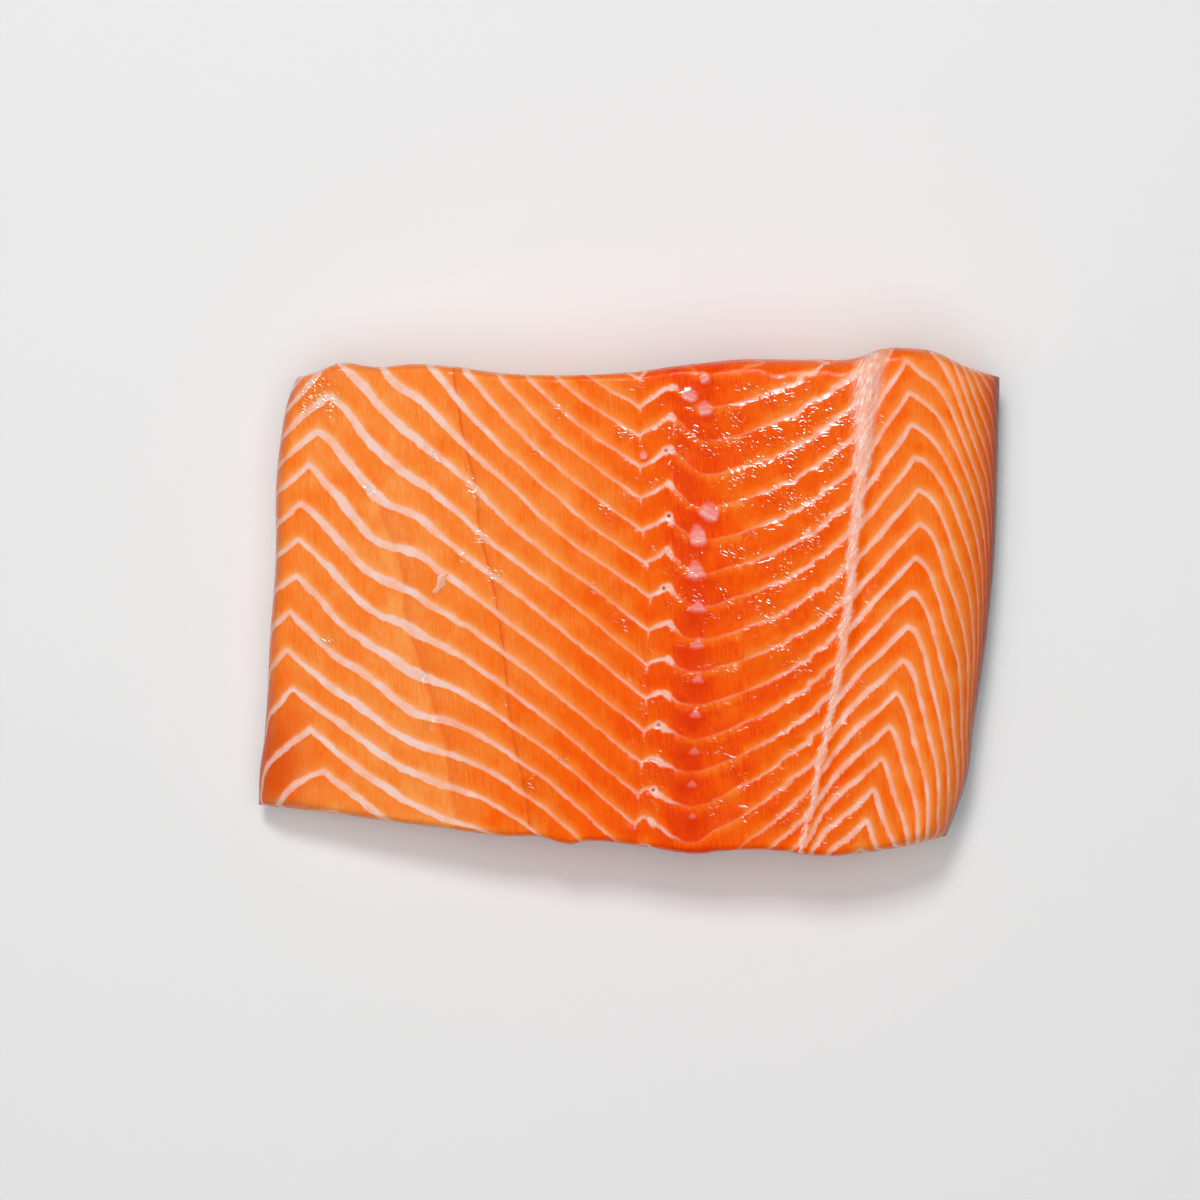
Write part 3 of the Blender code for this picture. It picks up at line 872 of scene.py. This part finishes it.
# The juice's beads: round ones and two directions of short dashes, at most half a millimetre wide.
under_border = past.rises(-0.03, 0.04) * past.falls(0.2, 0.5)
round_beads = start.in_millimetres(stretch=(0.95, 1.05, 1.0)).beads(0.50)
falling_dashes = start.in_millimetres(stretch=(0.50, 1.6, 1.0), turn=0.50).beads(0.50)
level_dashes = start.in_millimetres(stretch=(0.42, 1.5, 1.0), turn=-0.15).beads(0.55)
clusters = start.field("clusters")
beads = clusters * (0.055 * round_beads + 0.065 * falling_dashes)
beads = 1.3 * wet * (beads + 0.042 * under_border * level_dashes)
height = 0.022 * streaks - 0.03 * from_cut.rises(-0.15, 0.15) * from_cut.falls(0.15, 1.0)

# Dry flesh scatters the light and shines little; a wet film with beads of juice lies on parts.
film = shader
dry_surface = start.node("ShaderNodeBsdfPrincipled", {}, {}, "BSDF")
dry = dry_surface.socket.node
for part in (film, dry):
    flesh_colour.into(part, "Base Color")
    part.inputs["Subsurface Weight"].default_value = GLOW_THROUGH
    part.inputs["Subsurface Radius"].default_value = GLOW_RADIUS
    part.inputs["Subsurface Scale"].default_value = GLOW_DEPTH * MM
(height + beads).bumped(film)
height.bumped(dry)
bare_fat = white * (1 - start.field("in_drop"))
(0.10 + 0.06 * wander + 0.20 * bare_fat + 0.14 * band).into(film, "Roughness")
film.inputs["Specular IOR Level"].default_value = FILM_SHINE
dry.inputs["Roughness"].default_value = DRY_ROUGHNESS
dry.inputs["Specular IOR Level"].default_value = DRY_SHINE
gloss = 1.6 * wet * (0.35 + 0.65 * clusters.above(0.6 * under_border)) * (1 - 0.82 * bare_fat)
gloss = gloss * (1 - 0.35 * band)
film_share = gloss.math("MINIMUM", gloss, 1.0)
film_surface = Wire(start.tree, film.outputs["BSDF"])
surface = start.node(
    "ShaderNodeMixShader", {}, {"Fac": film_share, 1: dry_surface, 2: film_surface}, "Shader"
)
surface.into(start.tree.nodes["Material Output"], "Surface")
flesh.data.materials.append(material)
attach(flesh, "root")
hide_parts("salmon_portion")

# The skin: one leathery sheet, silvery at the belly and dark at the back, that the flesh grows on.
# It lies underneath, turns up round the back edge, and its cut edge shows as a thin line all round.
SCALE_PITCH = 3.4
SCALE_RELIEF = 0.22
SKIN_LIP = {"cut": 1.0, "belly": 2.4, "back": 6.2}
SKIN_LINES = 230, 160
LIP_ROWS = (0.12, 0.3, 0.5, 0.75, 1.0)
SKIN_COLOURS = (
    (0.0, (0.62, 0.62, 0.60)),
    (0.35, (0.48, 0.50, 0.50)),
    (0.62, (0.20, 0.23, 0.24)),
    (1.0, (0.045, 0.055, 0.060)),
)
PAINTED_SHADE_BETWEEN_SCALES = (0.05, 0.05, 0.055, 1)
SPOT_BLACK = (0.02, 0.02, 0.02, 1)


def scale_pattern(x, y):
    """Overlapping scales in staggered rows: 1 on a scale's free rounded edge, 0 at its root."""
    row = np.floor(x / (0.5 * SCALE_PITCH))
    across = (y / SCALE_PITCH + 0.5 * (row % 2)) % 1.0 - 0.5
    into = (x / (0.5 * SCALE_PITCH)) % 1.0
    return np.clip(into + 0.9 * (0.5 - across**2 * 4) * (1 - into), 0, 1) * (1 - 1.6 * across**2)


su, sv = np.meshgrid(np.linspace(0, 1, SKIN_LINES[0]), np.linspace(0, 1, SKIN_LINES[1]))
skin_rim_u, skin_rim_v = rim_of(su)[None, :], rim_of(sv)[None, :]
lip = SKIN_LIP["cut"] + (SKIN_LIP["back"] - SKIN_LIP["cut"]) * step(0.985, 1.0, skin_rim_u)
lip = lip + (SKIN_LIP["belly"] - SKIN_LIP["cut"]) * step(0.02, 0.0, skin_rim_u)
lip = lip + 0.15 * unevenness(skin_rim_u * 180, skin_rim_v * 120, 2.0, 41)
skin_under = wall_surface(su, sv, 1.0, 0.35)
scales = scale_pattern(skin_under[..., 0], skin_under[..., 1])
skin_under[..., 2] = SCALE_RELIEF * (1 - scales)
share = np.array(LIP_ROWS)[:, None]
rise = 1 - share * lip / widest_height(skin_rim_u)
skin_outer = wall_surface(skin_rim_u, skin_rim_v, rise, 0.0)
skin_inner = wall_surface(skin_rim_u, skin_rim_v, rise[::-1], SKIN_THICKNESS)
skin_inner[..., 2] = np.maximum(skin_inner[..., 2], 1.3 * SKIN_THICKNESS * (1 - 0.2 * share))
skin_wall = np.concatenate([skin_outer, skin_inner])
skin_points = in_order(skin_under, skin_wall)
skin_faces = [face[::-1] for face in sheet_and_walls(*su.shape, len(skin_wall))]
x, y, z = skin_points.T
skin = piece_of(
    "salmon_skin",
    skin_points,
    skin_faces,
    {
        "toward_back": np.clip((x + 90) / 180, 0, 1),
        "scale": in_order(scales, 0.6 + 0 * skin_wall[..., 0]),
    },
)
material, start, shader = new_finish("salmon_skin")
place = start.in_millimetres()
back = start.field("toward_back") + 0.25 * place.noise(0.08, 3.0)
scale = start.field("scale")
silver = back.node("ShaderNodeValToRGB", {"stops": SKIN_COLOURS}, {"Fac": back})
# Painted shade at each scale's root, under the edge of the scale before it.
shadowed = (scale + 0.5 * place.noise(1.5)).falls(0.15, 0.6)
skin_colour = (0.5 * shadowed).blend(silver, PAINTED_SHADE_BETWEEN_SCALES)
spots = place.noise(0.14, 1.0).rises(0.17, 0.2) * back.rises(0.5, 0.7)
(0.8 * spots).blend(skin_colour, SPOT_BLACK).into(shader, "Base Color")
(0.32 + 0.25 * place.noise(1.0)).into(shader, "Roughness")
(0.03 * place.noise(3.0) + 0.04 * scale).bumped(shader)
shader.inputs["Metallic"].default_value = 0.35
shader.inputs["Coat Weight"].default_value = 0.4
skin.data.materials.append(material)
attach(skin, "root")
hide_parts("salmon_portion")

# The torn flake: a thin tag of flesh that the knife lifted, curled up off the flesh side.
FLAKE_MIDDLE = (-45.0, 4.5)
FLAKE_LENGTH, FLAKE_WIDTH, FLAKE_THICKNESS = 6.0, 2.6, 0.5
FLAKE_TURN = 0.72
FLAKE_LIFT, FLAKE_CURL = 0.12, 0.55
FLAKE_RINGS, FLAKE_SIDES = 28, 24
FLAKE_FLESH = (0.98, 0.32, 0.09, 1)
FLAKE_EDGE_AND_HIGHLIGHT = (0.96, 0.56, 0.43, 1)


def flake_surface(t, turn):
    """X, Y and Z of the flake: t runs from -1 to 1 along it, and turn goes round its section.

    The section is an ellipse whose width falls to nothing at both ends, laid along a bent line on
    the flesh side, with its upper edge curled up by a power of the place across.
    """
    width = np.sqrt(np.clip(1 - t**2, 0, 1)) * (0.75 + 0.25 * np.sin(5 * t + 1))
    s = width * np.cos(turn) * (1 + 0.12 * np.sin(7 * t))
    along = 0.5 * FLAKE_LENGTH * t
    across = 0.5 * FLAKE_WIDTH * (s + 0.5 * np.sin(2.2 * t))
    x = FLAKE_MIDDLE[0] + along * np.cos(FLAKE_TURN) - across * np.sin(FLAKE_TURN)
    y = FLAKE_MIDDLE[1] + along * np.sin(FLAKE_TURN) + across * np.cos(FLAKE_TURN)
    share_along = (y - curve(FRONT_CUT, x)) / (curve(REAR_CUT, x) - curve(FRONT_CUT, x))
    curl = FLAKE_CURL * np.clip(s, 0, None) ** 1.5 + 0.2 * step(0.2, 1.0, t)
    middle = flesh_height(x, y, share_along) + curl + FLAKE_LIFT
    z = middle + 0.5 * FLAKE_THICKNESS * width * np.sin(turn)
    return np.stack([x, y, z], axis=-1), s


rings = -np.cos(np.linspace(0, np.pi, FLAKE_RINGS))[:, None]
turns = np.linspace(0, 2 * np.pi, FLAKE_SIDES, endpoint=False)[None, :]
flake_points, across_flake = flake_surface(rings, turns)
faces = quads_of(FLAKE_RINGS, FLAKE_SIDES, closed=True)[:, ::-1].tolist()
first_ring = np.arange(FLAKE_SIDES)
last_ring = first_ring + (FLAKE_RINGS - 1) * FLAKE_SIDES
faces += [first_ring.tolist(), last_ring[::-1].tolist()]
flake = piece_of(
    "torn_flake",
    flake_points.reshape(-1, 3),
    faces,
    {"lifted": np.clip(across_flake, 0, 1).ravel()},
)
material, start, shader = new_finish("torn_flesh")
place = start.in_millimetres()
# Paler where the flake curls up: partly its thin lifted edge and partly a painted highlight on it.
lifted = start.field("lifted") + 0.5 * place.noise(0.9)
lifted.rises(-0.3, 0.5).blend(FLAKE_FLESH, FLAKE_EDGE_AND_HIGHLIGHT).into(shader, "Base Color")
(0.4 + 0.3 * place.noise(1.5)).into(shader, "Roughness")
(0.08 * place.noise(2.0, 3.0)).bumped(shader)
shader.inputs["Coat Weight"].default_value = 0.7
shader.inputs["Coat Roughness"].default_value = 0.12
shader.inputs["Subsurface Weight"].default_value = GLOW_THROUGH
shader.inputs["Subsurface Radius"].default_value = GLOW_RADIUS
shader.inputs["Subsurface Scale"].default_value = 1.0 * MM
flake.data.materials.append(material)
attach(flake, "root")
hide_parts("salmon_portion")

# The stage: a plain pale floor under the portion, and soft studio light from above.
FLOOR_REACH = 3.0
FLOOR_GREY = (0.82, 0.82, 0.82, 1)
ROOM_LIGHT = 0.10
floor = bpy.data.objects.new("floor", bpy.data.meshes.new("floor"))
floor.data.from_pydata(
    [(-FLOOR_REACH, -FLOOR_REACH, 0), (FLOOR_REACH, -FLOOR_REACH, 0),
     (FLOOR_REACH, FLOOR_REACH, 0), (-FLOOR_REACH, FLOOR_REACH, 0)],
    [],
    [(0, 1, 2, 3)],
)
bpy.context.scene.collection.objects.link(floor)
material, start, shader = new_finish("pale_floor")
shader.inputs["Base Color"].default_value = FLOOR_GREY
shader.inputs["Roughness"].default_value = 0.9
shader.inputs["Specular IOR Level"].default_value = 0.1
floor.data.materials.append(material)


def soft_light(name, place, size, power, in_reflections=True, on_surfaces=True):
    """A square area light that faces the portion."""
    lamp = bpy.data.lights.new(name, "AREA")
    lamp.shape = "SQUARE"
    lamp.size = size
    lamp.energy = power
    light = bpy.data.objects.new(name, lamp)
    bpy.context.scene.collection.objects.link(light)
    light.location = place
    aim = light.location.copy()
    aim.negate()
    light.rotation_euler = aim.to_track_quat("-Z", "Y").to_euler()
    light.visible_glossy = in_reflections
    light.visible_diffuse = on_surfaces


soft_light("overhead", (-0.05, -0.22, 1.4), 1.6, 13.8, in_reflections=False)
soft_light("key", (-0.15, 0.66, 1.15), 0.30, 8.0, in_reflections=False)
soft_light("shine", (0.12, 0.70, 1.10), 0.56, 36, on_surfaces=False)
world = bpy.data.worlds.new("room")
bpy.context.scene.world = world
world.use_nodes = True
world.cycles_visibility.glossy = False
world.node_tree.nodes["Background"].inputs["Color"].default_value = (1, 1, 1, 1)
world.node_tree.nodes["Background"].inputs["Strength"].default_value = ROOM_LIGHT
bpy.context.scene.view_settings.view_transform = "Standard"

# The camera looks straight down from 0.9 m, at this X and Y in millimetres.
CAMERA_HEIGHT = 0.9
LOOKS_AT = (-6.92, 0.48)
SENSOR_WIDTH, FOCAL_LENGTH = 36, 110.4
camera = bpy.data.objects.new("camera", bpy.data.cameras.new("camera"))
bpy.context.scene.collection.objects.link(camera)
camera.location = (LOOKS_AT[0] * MM, LOOKS_AT[1] * MM, CAMERA_HEIGHT)
camera.data.sensor_width = SENSOR_WIDTH
camera.data.lens = FOCAL_LENGTH
camera.data.clip_end = 20
bpy.context.scene.camera = camera
